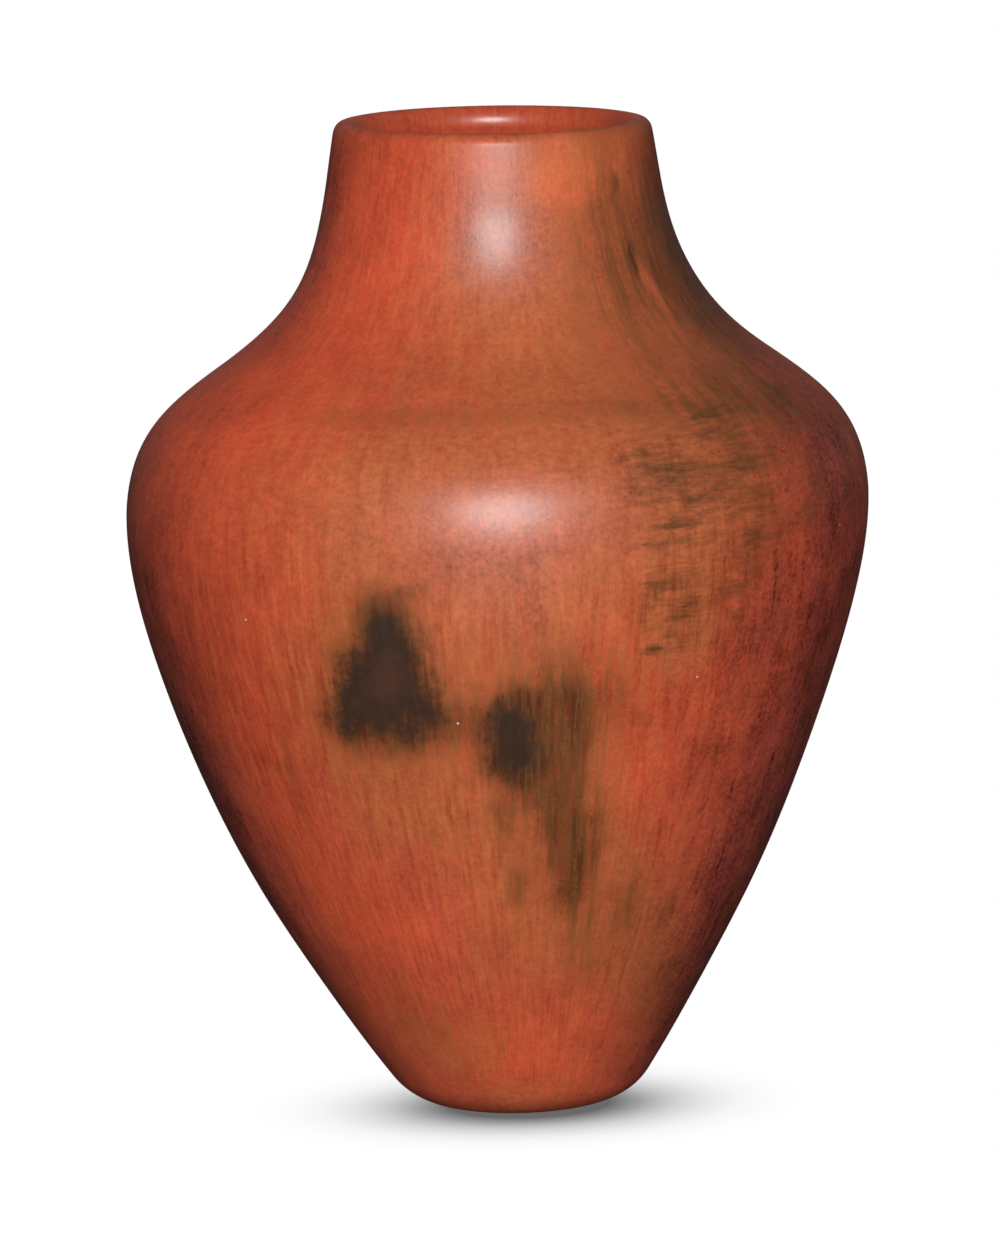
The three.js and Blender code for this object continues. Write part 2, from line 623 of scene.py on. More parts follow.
@dataclass(frozen=True)
class Firing:
    """Where the slip and the open fire coloured the wall, and where shade is painted on it."""

    outline: Outline
    shaping: HandShaping
    cloud_blend: float = 0.002  # how softly the patches of a charcoal cloud run together
    ragged: float = 0.0016  # how far the edges of the patches wander
    ragged_scale: float = 190.0
    seed: int = 7  # of the way the edges wander
    bright: tuple[Patch, ...] = (
        Patch(-62.0, 0.278, 0.046, 0.034),
        Patch(-66.0, 0.33, 0.024, 0.045, 0.6),
        Patch(26.0, 0.361, 0.012, 0.01, 0.9),
        Patch(-44.0, 0.12, 0.01, 0.05, 0.45, lean=-6.0),
        Patch(-28.0, 0.094, 0.016, 0.018, 0.5),
        Patch(-2.0, 0.042, 0.026, 0.02, 0.55),
        Patch(22.0, 0.16, 0.016, 0.044, 0.35),
        Patch(-140.0, 0.15, 0.05, 0.05, 0.5),
        Patch(140.0, 0.3, 0.03, 0.04, 0.6),
    )
    tan: tuple[Patch, ...] = (
        Patch(30.0, 0.33, 0.05, 0.06, 1.2),
        Patch(6.0, 0.243, 0.083, 0.03, 1.1),
        Patch(-11.5, 0.17, 0.049, 0.05, 0.95, 7.0),
        Patch(24.0, 0.098, 0.02, 0.048, 1.0, 6.0, lean=-35.0),
        Patch(12.0, 0.146, 0.012, 0.04, 0.7),
        Patch(16.0, 0.13, 0.009, 0.036, 0.5, lean=4.0),
        Patch(2.0, 0.096, 0.02, 0.03, 0.5),
        Patch(29.6, 0.207, 0.0142, 0.026, 0.8, 9.0),
        Patch(48.0, 0.282, 0.026, 0.018, 0.4),
        Patch(-24.0, 0.044, 0.02, 0.014, 0.7),
        Patch(0.0, 0.018, 0.018, 0.008, 0.6),
        Patch(60.0, 0.065, 0.018, 0.03, 0.5),
        Patch(-60.0, 0.18, 0.034, 0.09, -0.5),
        Patch(59.0, 0.23, 0.02, 0.042, -0.5),
        Patch(-42.0, 0.345, 0.016, 0.03, -0.35),
        Patch(-150.0, 0.25, 0.06, 0.05, 0.9),
        Patch(125.0, 0.17, 0.045, 0.06, 0.7),
    )
    # dark purple-red patches; some of them are painted shade, as marked below
    plum: tuple[Patch, ...] = (
        Patch(65.0, 0.105, 0.026, 0.078),
        Patch(66.0, 0.224, 0.024, 0.04, 0.55),
        Patch(46.0, 0.203, 0.014, 0.022, 0.3),
        Patch(63.0, 0.252, 0.022, 0.018, 0.35),
        # painted shade: darker near the left edge seen from the front, on the lower wall and the neck
        Patch(-73.0, 0.12, 0.016, 0.06, 0.6),
        Patch(-76.0, 0.34, 0.014, 0.036, 0.4),
        Patch(-72.0, 0.168, 0.022, 0.062, 0.4),
        # painted shade: darker slip under the highlights on the belly and the neck
        Patch(-1.0, 0.233, 0.036, 0.016, 0.3),
        Patch(4.0, 0.346, 0.016, 0.016, 0.25),
        # painted shade: darker near the right edge of the neck seen from the front
        Patch(76.0, 0.32, 0.012, 0.05, 0.7),
        Patch(5.3, 0.21, 0.003, 0.01, 0.3),
        Patch(36.0, 0.175, 0.026, 0.036, 0.12),
        Patch(-112.0, 0.2, 0.05, 0.06, 0.5),
        Patch(172.0, 0.09, 0.04, 0.04, 0.7),
    )
    haze: tuple[Patch, ...] = (
        Patch(8.8, 0.178, 0.0165, 0.0105, 0.68, 3.0),
        Patch(9.5, 0.165, 0.0115, 0.015, 0.85),
        Patch(2.5, 0.1745, 0.0078, 0.008, 0.8, 10.0),
        Patch(2.6, 0.157, 0.0078, 0.008, 0.75, 10.0, lean=15.0),
        Patch(5.0, 0.1455, 0.007, 0.0055, 0.5, lean=20.0),
        Patch(10.7, 0.135, 0.0068, 0.017, 0.95, lean=-2.0),
        Patch(13.6, 0.113, 0.0056, 0.015, 0.8),
        Patch(18.2, 0.128, 0.004, 0.014, 0.35, lean=4.0),
        Patch(19.0, 0.086, 0.006, 0.018, 0.25, lean=6.0),
        Patch(27.0, 0.098, 0.005, 0.012, 0.3, lean=6.0),
        Patch(39.0, 0.095, 0.003, 0.012, 0.35, lean=8.0),
        Patch(0.0, 0.138, 0.0035, 0.008, 0.4),
        Patch(2.2, 0.11, 0.0035, 0.008, 0.3),
        Patch(-7.2, 0.172, 0.0085, 0.007, 0.6),
        Patch(-21.0, 0.1655, 0.015, 0.007, 0.55),
        Patch(-13.5, 0.216, 0.006, 0.0025, 0.35),
        Patch(-17.6, 0.207, 0.008, 0.009, 0.8),
        Patch(-25.5, 0.194, 0.005, 0.006, 0.25, lean=30.0),
        Patch(68.0, 0.33, 0.021, 0.033, 0.8, 5.0),
        Patch(95.0, 0.322, 0.022, 0.036, 0.42, 3.0),
        Patch(41.0, 0.336, 0.012, 0.028, 0.32),
        Patch(46.8, 0.334, 0.0012, 0.0036, 1.4, lean=14.0),
        Patch(50.0, 0.3265, 0.0024, 0.0085, -0.6, lean=-10.0),
        Patch(31.0, 0.32, 0.016, 0.036, 0.14),
        Patch(45.0, 0.358, 0.0015, 0.006, 0.4),
        Patch(49.0, 0.366, 0.002, 0.005, -0.4),
        Patch(44.0, 0.275, 0.017, 0.011, 0.36),
        Patch(57.0, 0.272, 0.02, 0.018, 0.36),
        Patch(61.0, 0.27, 0.007, 0.006, 0.7, lean=-30.0),
        Patch(31.0, 0.276, 0.012, 0.005, 0.15),
        Patch(48.0, 0.25, 0.022, 0.026, 0.12),
        Patch(-27.0, 0.052, 0.016, 0.013, 0.14, lean=20.0),
        Patch(47.0, 0.058, 0.012, 0.022, 0.2),
        Patch(-40.0, 0.148, 0.0025, 0.018, 0.3),
        Patch(-8.0, 0.275, 0.055, 0.005, 0.18),
        Patch(168.0, 0.16, 0.018, 0.03, 0.9),
        Patch(-128.0, 0.29, 0.03, 0.02, 0.6),
        Patch(100.0, 0.25, 0.03, 0.012, 0.6),
    )
    blot: tuple[Patch, ...] = (
        Patch(34.0, 0.246, 0.027, 0.028, 0.2, 8.0),
        Patch(30.0, 0.208, 0.016, 0.016, 0.16, 6.0),
        Patch(42.5, 0.2702, 0.0085, 0.003, 0.46),
        Patch(36.8, 0.2685, 0.006, 0.0018, 0.36),
        Patch(38.2, 0.2621, 0.009, 0.0022, 0.4),
        Patch(23.2, 0.255, 0.0075, 0.004, 0.46),
        Patch(42.0, 0.2566, 0.006, 0.006, 0.42),
        Patch(49.0, 0.2545, 0.0012, 0.004, 0.46),
        Patch(30.5, 0.2515, 0.011, 0.0018, 0.46),
        Patch(37.5, 0.2494, 0.014, 0.0018, 0.48),
        Patch(42.8, 0.2498, 0.009, 0.0022, 0.4),
        Patch(26.0, 0.2456, 0.012, 0.0055, 0.4),
        Patch(36.0, 0.243, 0.009, 0.0045, 0.4),
        Patch(30.2, 0.241, 0.006, 0.0014, 0.46),
        Patch(43.8, 0.237, 0.006, 0.005, 0.4),
        Patch(58.5, 0.238, 0.006, 0.008, 0.4),
        Patch(26.5, 0.234, 0.006, 0.0022, 0.4),
        Patch(31.0, 0.2328, 0.012, 0.001, 0.46),
        Patch(53.8, 0.2295, 0.009, 0.0035, 0.4),
        Patch(24.5, 0.2278, 0.009, 0.0012, 0.46),
        Patch(43.5, 0.2257, 0.011, 0.0022, 0.4),
        Patch(41.2, 0.219, 0.005, 0.007, 0.46),
        Patch(25.2, 0.2155, 0.007, 0.0045, 0.46),
        Patch(37.8, 0.21, 0.005, 0.004, 0.32),
        Patch(29.8, 0.2057, 0.0028, 0.0035, 0.46),
        Patch(22.2, 0.2053, 0.0018, 0.009, 0.32),
        Patch(39.8, 0.2015, 0.0022, 0.0028, 0.46),
        Patch(28.2, 0.199, 0.0035, 0.01, 0.4),
        Patch(45.8, 0.196, 0.008, 0.002, 0.32),
        Patch(24.2, 0.1934, 0.003, 0.0009, 0.8),
        Patch(41.0, 0.154, 0.004, 0.0025, 0.4),
        Patch(118.0, 0.24, 0.016, 0.003, 0.4),
        Patch(112.0, 0.23, 0.009, 0.005, 0.46),
        Patch(125.0, 0.225, 0.012, 0.0025, 0.46),
    )
    soot: tuple[Patch, ...] = (
        Patch(-18.6, 0.185, 0.0146, 0.0146),
        Patch(-16.9, 0.1955, 0.0102, 0.012, lean=-10.0),
        Patch(-17.6, 0.204, 0.0062, 0.0075),
        Patch(-13.6, 0.178, 0.008, 0.0096, lean=-15.0),
        Patch(-23.8, 0.178, 0.0076, 0.0098, lean=8.0),
        Patch(-19.8, 0.1735, 0.013, 0.006),
        Patch(-15.4, 0.1695, 0.006, 0.005),
        Patch(-26.0, 0.171, 0.0042, 0.0042),
        Patch(1.9, 0.165, 0.0076, 0.0105),
        Patch(0.4, 0.1695, 0.005, 0.0062),
        Patch(0.5, 0.16, 0.0052, 0.0062),
        Patch(3.4, 0.158, 0.0052, 0.0056),
        Patch(3.6, 0.1705, 0.0048, 0.0056),
        Patch(163.0, 0.196, 0.026, 0.015),
        Patch(172.0, 0.182, 0.014, 0.016),
        Patch(-92.0, 0.236, 0.012, 0.008),
    )

    def spread(self, patch: Patch, angle: np.ndarray, rise: np.ndarray) -> np.ndarray:
        """How far places on the wall are from the middle of a patch, as a share of the way to its edge.

        Args:
            patch: The patch.
            angle: Degrees from the front.
            rise: Distances along the wall.

        Returns:
            The shares, 1 at the patch's edge.
        """
        turn = (angle - patch.angle + 180.0) % 360.0 - 180.0
        across = np.radians(turn) * self.outline.outer_point(patch.rise).x
        up = rise - patch.rise
        lean = math.radians(patch.lean)
        sideways = across * math.cos(lean) - up * math.sin(lean)
        along = across * math.sin(lean) + up * math.cos(lean)
        return np.hypot(sideways / patch.width, along / patch.height)

    def cover(self, stain: Stain, angle: np.ndarray, rise: np.ndarray) -> np.ndarray:
        """How strong a stain is at places on the wall.

        Args:
            stain: The stain.
            angle: Degrees from the front.
            rise: Distances along the wall.

        Returns:
            The strengths from 0 to 1, or for soot the depths inside the cloud.
        """
        patches = getattr(self, stain.value)
        spreads = [self.spread(patch, angle, rise) for patch in patches]
        if stain is Stain.SOOT:
            depths = [(1.0 - s) * min(p.width, p.height) for p, s in zip(patches, spreads)]
            return self.cloud_blend * np.logaddexp.reduce(np.array(depths) / self.cloud_blend)
        total = sum(p.amount / (1.0 + s**p.hardness) for p, s in zip(patches, spreads))
        return np.clip(total, 0.0, 1.0)

    def paint(self, mesh: bpy.types.Mesh) -> None:
        """Lays every stain on a mesh as an attribute.

        Args:
            mesh: The finished mesh of a course.
        """
        count = len(mesh.vertices)
        places, rise = np.empty(count * 3), np.empty(count)
        mesh.vertices.foreach_get("co", places)
        mesh.attributes["rise"].data.foreach_get("value", rise)
        places = places.reshape(-1, 3)
        x, y, z = places.T
        drift = np.array([self.shaping.drift(height) for height in z])
        radius = np.maximum(np.hypot(x - drift, y), self.outline.base_radius)
        noise.seed_set(self.seed)
        wander = np.array([noise.noise_vector(place * self.ragged_scale) for place in map(Vector, places)])
        angle = np.degrees(np.arctan2(x - drift, -y) + wander[:, 0] * self.ragged / radius)
        rise = rise + wander[:, 2] * self.ragged
        for stain in Stain:
            layer = mesh.attributes.new(stain.value, "FLOAT", "POINT")
            layer.data.foreach_set("value", self.cover(stain, angle, rise).astype(np.float32))


class WallShader(Shader):
    """Nodes of a finish that follows the wall of the vase."""

    @cached_property
    def place(self) -> Field:
        """Place in the vase's own frame."""
        return self.field(self.node("ShaderNodeTexCoord"), "Object")

    @cached_property
    def way(self) -> Field:
        """Level direction from the axis."""
        level = self.vector("MULTIPLY", self.place, (1.0, 1.0, 0.0))
        return self.vector("NORMALIZE", level)

    @cached_property
    def rise(self) -> Field:
        """Distance along the wall, over the lip and down the inside."""
        return self.attribute("rise")

    def attribute(self, name: str) -> Field:
        """A number that is painted on the mesh."""
        return self.field(self.node("ShaderNodeAttribute", {"attribute_name": name}), "Fac")

    def vector(self, operation: str, *values: Field | tuple[float, float, float]) -> Field:
        """A Vector Math node on these values."""
        made = self.node("ShaderNodeVectorMath", {"operation": operation}, dict(enumerate(values)))
        return self.field(made)

    def noise(self, scale: float, detail: float, roughness: float, place: Field | None = None) -> Field:
        """Noise about nothing, mostly between -0.3 and 0.3.

        Args:
            scale: Features to a unit of the place.
            detail: Number of finer layers.
            roughness: Strength of each layer beside the one before it.
            place: Where it is read, if not at the vase's own place.

        Returns:
            The noise.
        """
        inputs = {"Vector": place or self.place, "Scale": scale, "Detail": detail, "Roughness": roughness}
        return self.field(self.node("ShaderNodeTexNoise", None, inputs)) - 0.5

    def streaks(self, around: float, up: float, detail: float = 3.0, roughness: float = 0.55) -> Field:
        """Noise that is drawn out round the wall or up it.

        Args:
            around: Features to a radian round the wall.
            up: Features to a metre up the wall.
            detail: Number of finer layers.
            roughness: Strength of each layer beside the one before it.

        Returns:
            The noise.
        """
        scaled = self.vector("MULTIPLY", self.way, (around, around, 0.0))
        lifted = self.node("ShaderNodeCombineXYZ", None, {"Z": self.rise * up})
        return self.noise(1.0, detail, roughness, self.vector("ADD", scaled, self.field(lifted)))

    def smooth(self, value: Field, low: float, high: float) -> Field:
        """A smooth step from 0 at low to 1 at high."""
        inputs = {"Value": value, "From Min": low, "From Max": high}
        return self.field(self.node("ShaderNodeMapRange", {"interpolation_type": "SMOOTHSTEP"}, inputs))

    def blend(self, amount: Field, first: Field | Colour, second: Field | Colour) -> Field:
        """One colour laid over another.

        Args:
            amount: How much of the second shows.
            first: The colour below.
            second: The colour over it.

        Returns:
            The mixed colour.
        """
        factor, below, above, result = 0, 6, 7, 2  # a Mix node's sockets for colours
        settings = {"data_type": "RGBA", "clamp_factor": True}
        inputs = {factor: amount, below: first, above: second}
        return self.field(self.node("ShaderNodeMix", settings, inputs), result)

    def shaded(self, colour: Field | Colour, value: Field) -> Field:
        """A colour made lighter or darker."""
        return self.field(self.node("ShaderNodeHueSaturation", None, {"Value": value, "Color": colour}))


class Traces(NamedTuple):
    """How strongly each trace in the slip tells; the names are those of the slip's shader."""

    stroke: float = 0.0
    drawn: float = 0.0
    smears: float = 0.0
    broad: float = 0.0
    tone: float = 0.0
    tint: float = 0.0
    fleck: float = 0.0
    speckle: float = 0.0
    freckle: float = 0.0
    grain: float = 0.0


class SlipShader(WallShader):
    """Traces of the pebble, the brush, the fire and the clay's grain in the slip."""

    SHOULDER_START: Span = (0.205, 0.24)  # rises where the level strokes over the shoulder set in
    SHOULDER_END: Span = (0.315, 0.28)
    SHOULDER_SHARE: float = 0.6
    FOOT_END: Span = (0.034, 0.018)  # rises where those beside the base end
    FOOT_SHARE: float = 0.7
    NECK_START: Span = (0.25, 0.28)
    NECK_STRENGTH: float = 0.62  # strokes on the neck, beside those on the lower wall
    BREAK_UP: float = 0.35  # strength of a stain at which it breaks up fully
    TINT_SHIFT: tuple[float, float, float] = (3.1, 1.7, 5.3)  # keeps the tints from following the tones
    FRECKLE_SHIFT: tuple[float, float, float] = (7.3, 2.9, 4.1)

    @cached_property
    def level_strokes(self) -> Field:
        """Where the pebble went round the wall: over the shoulder and beside the base."""
        shoulder = self.smooth(self.rise, *self.SHOULDER_START) * self.smooth(self.rise, *self.SHOULDER_END)
        foot = self.smooth(self.rise, *self.FOOT_END)
        return shoulder * self.SHOULDER_SHARE + foot * self.FOOT_SHARE

    @cached_property
    def upright(self) -> Field:
        """Narrow strokes up the neck and the lower wall."""
        lower = self.streaks(58.0, 60.0, 4.0, 0.7)
        upper = self.streaks(38.0, 130.0, 4.0, 0.7)
        on_neck = self.smooth(self.rise, *self.NECK_START)
        return lower * (1 - on_neck) + upper * on_neck * self.NECK_STRENGTH

    @cached_property
    def level(self) -> Field:
        """Narrow strokes round the wall."""
        return self.streaks(24.0, 420.0, 4.0, 0.7)

    @cached_property
    def stroke(self) -> Field:
        """Narrow burnishing strokes, each way where the pebble went that way."""
        return self.upright * (1 - self.level_strokes) + self.level * self.level_strokes

    @cached_property
    def drawn(self) -> Field:
        """The strokes with harder edges, as they drew the smoke along."""
        return self.hardened(self.stroke, 0.08)

    @cached_property
    def smears(self) -> Field:
        """Short level smears."""
        return self.hardened(self.streaks(14.0, 560.0, 3.0, 0.7), 0.13)

    @cached_property
    def broad(self) -> Field:
        """Broad strokes of the slip brush."""
        return self.hardened(self.streaks(24.0, 22.0, 4.0, 0.6), 0.09)

    @cached_property
    def tone(self) -> Field:
        """Lighter and darker slip."""
        return self.noise(46.0, 6.0, 0.82)

    @cached_property
    def tint(self) -> Field:
        """Redder and browner slip."""
        return self.noise(54.0, 6.0, 0.82, self.vector("ADD", self.place, self.TINT_SHIFT))

    @cached_property
    def fleck(self) -> Field:
        """Ragged edges of the smoke."""
        return self.noise(240.0, 4.0, 0.65)

    @cached_property
    def speckle(self) -> Field:
        """Fine unevenness of the slip."""
        return self.noise(620.0, 2.0, 0.8)

    @cached_property
    def freckle(self) -> Field:
        """Fine specks of redder and browner slip."""
        return self.noise(560.0, 2.0, 0.8, self.vector("ADD", self.place, self.FRECKLE_SHIFT))

    @cached_property
    def grain(self) -> Field:
        """Grain of the clay under the slip."""
        return self.noise(1100.0, 2.0, 0.6)

    def hardened(self, noise: Field, edge: float) -> Field:
        """Noise that is mostly at -0.5 or 0.5; a wider edge leaves more in between."""
        return self.smooth(noise, -edge, edge) - 0.5

    def traces(self, strengths: Traces) -> Field:
        """The traces added up, each at its strength."""
        used = ((name, strength) for name, strength in strengths._asdict().items() if strength)
        return sum(getattr(self, name) * strength for name, strength in used)

    def mark(self, stain: Stain) -> Field:
        """A stain, or painted shade, as it lies on the mesh."""
        return self.attribute(stain.value)

    def grit(self, spacing: float, size: float, core: float) -> Field:
        """Grains of grit that show in the surface.

        Args:
            spacing: Distance from grain to grain.
            size: Radius of a grain.
            core: Share of the radius where a grain is at full strength.

        Returns:
            1 on a grain and 0 off it.
        """
        inputs = {"Scale": 1 / spacing, "Randomness": 1.0, "Vector": self.place}
        grains = self.field(self.node("ShaderNodeTexVoronoi", {"feature": "F1"}, inputs), "Distance")
        return self.smooth(grains * spacing, size, size * core)

    def stain(self, stain: Stain, wear: Traces) -> Field:
        """A stain that breaks up where it shows.

        Args:
            stain: The stain.
            wear: What breaks it up.

        Returns:
            How strong it is.
        """
        amount = self.mark(stain)
        return amount + self.traces(wear) * self.smooth(amount, 0.0, self.BREAK_UP)


@dataclass(frozen=True)
class BurnishedSlip:
    """Red slip polished with a pebble and coloured by the fire, with painted shade near the edges and under
    the highlights, over clay that is bare inside and below.
    """

    outline: Outline
    red: Colour = (0.540, 0.074, 0.030, 1.0)
    bright_red: Colour = (0.690, 0.088, 0.032, 1.0)
    low_red: Colour = (0.550, 0.086, 0.041, 1.0)
    tan: Colour = (0.440, 0.110, 0.037, 1.0)
    # dark purple-red; it is also the colour of the painted shade near the edges and under the highlights
    plum: Colour = (0.245, 0.040, 0.026, 1.0)
    brown: Colour = (0.112, 0.038, 0.011, 1.0)
    olive: Colour = (0.118, 0.041, 0.012, 1.0)
    charcoal: Colour = (0.034, 0.020, 0.013, 1.0)
    scorched: Colour = (0.066, 0.028, 0.018, 1.0)
    cream: Colour = (0.80, 0.62, 0.48, 1.0)
    bare_clay: Colour = (0.19, 0.085, 0.050, 1.0)
    worn_clay: Colour = (0.36, 0.145, 0.080, 1.0)
    bright_traces: Traces = Traces(broad=0.16, tint=0.6)
    tan_traces: Traces = Traces(tint=0.9, broad=0.28, stroke=1.9, freckle=0.9)
    plum_and_shade_traces: Traces = Traces(stroke=3.0, tint=0.4)
    tone_traces: Traces = Traces(tone=0.9, stroke=1.1, broad=0.06, speckle=0.65)
    haze_traces: Traces = Traces(drawn=0.6, broad=0.35, tone=0.8, speckle=1.0)
    brown_traces: Traces = Traces(drawn=1.0, speckle=1.6, tone=1.6)
    blot_traces: Traces = Traces(smears=0.5, tone=1.3, fleck=0.8, speckle=1.0)
    soot_traces: Traces = Traces(tone=0.012, fleck=0.008, speckle=0.008)  # metres, as soot is a depth
    earth_traces: Traces = Traces(tone=0.6, grain=0.4)
    rough_traces: Traces = Traces(stroke=0.12, tone=0.15)
    low_red_span: Span = (0.2, 0.09)
    uneven_span: Span = (0.0, 0.6)  # stains and painted shade this strong leave the slip uneven
    tan_base: float = 0.08
    tan_share: float = 0.84
    tan_calm: float = 0.3  # how much less an uneven slip wavers between red and tan
    plum_and_shade_depth: float = 1.2  # extra light and dark tones in the dark purple-red and the painted shade
    thin_gain: float = 0.3  # how much lighter thin slip is
    haze_share: float = 0.95
    blot_share: float = 0.85
    fringe_span: Span = (-0.007, 0.002)  # depths in a cloud, from outside it to inside
    fringe_share: float = 0.7
    cloud_span: Span = (-0.003, 0.006)
    cloud_share: float = 0.96
    heart_span: Span = (0.003, 0.014)
    heart_ragged: float = 0.02
    polish_depth: Span = (0.030, 0.055)  # below the lip, where the pebble stopped
    polish_ragged: float = 0.02
    wear_span: Span = (0.003, -0.003)
    wear_ragged: float = 0.006
    grit_spacing: float = 0.026
    grit_size: float = 0.00045
    grit_core: float = 0.55
    roughness: float = 0.43
    bare_roughness: float = 0.8
    specular: float = 0.45
    coat: float = 0.32
    coat_roughness: float = 0.27
    dull_start: Span = (0.346, 0.357)  # the pebble hardly reached the wall under the lip
    dull_end: Span = (0.0012, -0.0004)  # from where the lip begins
    dull_share: float = 0.9
    shine_start: Span = (0.0, 0.0015)  # from where the lip begins
    lip_shine: float = 1.0  # extra polish over the lip
    stroke_relief: float = 0.00013
    grain_relief: float = 0.00006

    def slip_colour(self, shader: SlipShader) -> Field:
        """Slip before the smoke reached it, with painted shade near the edges and under the highlights.

        Args:
            shader: The nodes of the finish.

        Returns:
            The colour.
        """
        red = shader.blend(shader.smooth(shader.rise, *self.low_red_span), self.red, self.low_red)
        bright, tan, plum = (shader.mark(stain) for stain in (Stain.BRIGHT, Stain.TAN, Stain.PLUM))
        colour = shader.blend(bright + shader.traces(self.bright_traces), red, self.bright_red)
        uneven = shader.smooth(shader.mark(Stain.HAZE) + plum + shader.mark(Stain.BLOT), *self.uneven_span)
        tints = shader.traces(self.tan_traces) * (1 - uneven * self.tan_calm)
        colour = shader.blend(tan * self.tan_share + tints + self.tan_base, colour, self.tan)
        colour = shader.blend(shader.stain(Stain.PLUM, self.plum_and_shade_traces), colour, self.plum)
        tones = shader.traces(self.tone_traces) * (uneven + plum * self.plum_and_shade_depth + 1)
        return shader.shaded(colour, tones + tan * bright * self.thin_gain + 1)

    def smoked_colour(self, shader: SlipShader, colour: Field) -> Field:
        """Slip with the haze, the smears and the charcoal clouds on it.

        Args:
            shader: The nodes of the finish.
            colour: The slip.

        Returns:
            The colour.
        """
        haze = shader.stain(Stain.HAZE, self.haze_traces)
        brown = shader.shaded(self.brown, shader.traces(self.brown_traces) + 1)
        colour = shader.blend(haze * self.haze_share, colour, brown)
        blot = shader.stain(Stain.BLOT, self.blot_traces)
        colour = shader.blend(blot * self.blot_share, colour, self.olive)
        depth = shader.mark(Stain.SOOT) + shader.traces(self.soot_traces)
        fringe = shader.smooth(depth, *self.fringe_span)
        colour = shader.blend(fringe * self.fringe_share, colour, brown)
        heart = shader.smooth(depth + shader.tint * self.heart_ragged, *self.heart_span)
        cloud = shader.blend(heart, self.charcoal, self.scorched)
        return shader.blend(shader.smooth(depth, *self.cloud_span) * self.cloud_share, colour, cloud)

    def bare(self, shader: SlipShader) -> Field:
        """Where the clay was never slipped, deep inside.

        Args:
            shader: The nodes of the finish.

        Returns:
            1 there and 0 on slip.
        """
        lip = self.outline.rim_distance + self.outline.lip_length
        start, end = (lip + depth for depth in self.polish_depth)
        return shader.smooth(shader.rise + shader.tone * self.polish_ragged, start, end)

    def polish(self, shader: SlipShader, raw: Field) -> Field:
        """How brightly the pebble polished the slip.

        Args:
            shader: The nodes of the finish.
            raw: Where the clay is bare or worn, from 0 to 1.

        Returns:
            The polish, 1 on most of the wall.
        """
        lip = self.outline.rim_distance
        dull = shader.smooth(shader.rise, *self.dull_start)
        dull = dull * shader.smooth(shader.rise, *(lip + reach for reach in self.dull_end))
        shine = shader.smooth(shader.rise, *(lip + reach for reach in self.shine_start)) * self.lip_shine
        return (1 - raw) * (1 - dull * self.dull_share) * (shine + 1)

    def material(self) -> bpy.types.Material:
        """The finish as a material.

        Returns:
            The material.
        """
        made = bpy.data.materials.new("burnished_slip")
        made.use_nodes = True
        shader = SlipShader(made.node_tree)
        bare = self.bare(shader)
        worn = shader.smooth(shader.rise + shader.fleck * self.wear_ragged, *self.wear_span)
        colour = self.smoked_colour(shader, self.slip_colour(shader))
        grit = shader.grit(self.grit_spacing, self.grit_size, self.grit_core)
        colour = shader.blend(grit, colour, self.cream)
        earth = shader.traces(self.earth_traces) + 1
        colour = shader.blend(bare, colour, shader.shaded(self.bare_clay, earth))
        colour = shader.blend(worn, colour, shader.shaded(self.worn_clay, earth))
        raw = shader.math("MAXIMUM", bare, worn)
        smoothed = shader.traces(self.rough_traces) + self.roughness
        roughness = smoothed * (1 - raw) + raw * self.bare_roughness
        relief = shader.stroke * self.stroke_relief + shader.grain * self.grain_relief * (raw + 1)
        bump = shader.node("ShaderNodeBump", None, {"Strength": 1.0, "Distance": 1.0, "Height": relief})
        surface = shader.node(
            "ShaderNodeBsdfPrincipled",
            None,
            {
                "Base Color": colour,
                "Roughness": roughness,
                "Specular IOR Level": self.specular,
                "Coat Weight": self.polish(shader, raw) * self.coat,
                "Coat Roughness": self.coat_roughness,
                "Normal": shader.field(bump),
            },
        )
        shader.node("ShaderNodeOutputMaterial", None, {"Surface": shader.field(surface)})
        return made


@dataclass
class Vase:
    """The base slab and the courses of coil that are joined on it."""

    outline: Outline = field(default_factory=Outline)
    lower_wall_courses: int = 6
    shoulder_courses: int = 2
    neck_courses: int = 2

    @cached_property
    def shaping(self) -> HandShaping:
        """The hand-built departures that all the courses share."""
        return HandShaping(self.outline)

    def stack(self, name: str, start: float, end: float, count: int) -> Iterator[Course]:
        """Equal courses between two levels.

        Args:
            name: Name that the courses share before their number.
            start: Distance of the lower level.
            end: Distance of the upper level.
            count: Number of courses.

        Yields:
            The courses from the bottom up.
        """
        levels = np.linspace(start, end, count + 1)
        for number, (low, high) in enumerate(zip(levels, levels[1:]), 1):
            yield Course(f"{name}_{number}", self.outline, self.shaping, float(low), float(high))

    def courses(self) -> Iterator[Course]:
        """All the pieces.

        Yields:
            The slab and the courses from the resting face up.
        """
        line = self.outline
        _, belly, shoulder, neck, rim = line.levels
        yield BaseSlab("base_slab", line, self.shaping, 0.0, line.slab_top)
        yield from self.stack("lower_wall_coil", line.slab_top, belly, self.lower_wall_courses)
        yield from self.stack("shoulder_coil", belly, shoulder, self.shoulder_courses)
        yield from self.stack("neck_coil", shoulder, neck, self.neck_courses)
        yield RimCourse("rim_coil", line, self.shaping, neck, rim)

    def make(self) -> None:
        """Builds each piece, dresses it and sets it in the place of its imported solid."""
        finish = BurnishedSlip(self.outline).material()
        firing = Firing(self.outline, self.shaping)
        for course in self.courses():
            piece = course.build()
            firing.paint(piece.data)
            piece.data.materials.append(finish)
            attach(piece, BODY)
            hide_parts(course.node)
            log.info("%s: %d faces", piece.name, len(piece.data.polygons))


def view_from(azimuth: float, elevation: float) -> Vector:
    """Direction from the vase to a viewer, with azimuth 0 in front and positive to the right."""
    turn, lift = math.radians(azimuth), math.radians(elevation)
    return Vector((math.sin(turn) * math.cos(lift), -math.cos(turn) * math.cos(lift), math.sin(lift)))


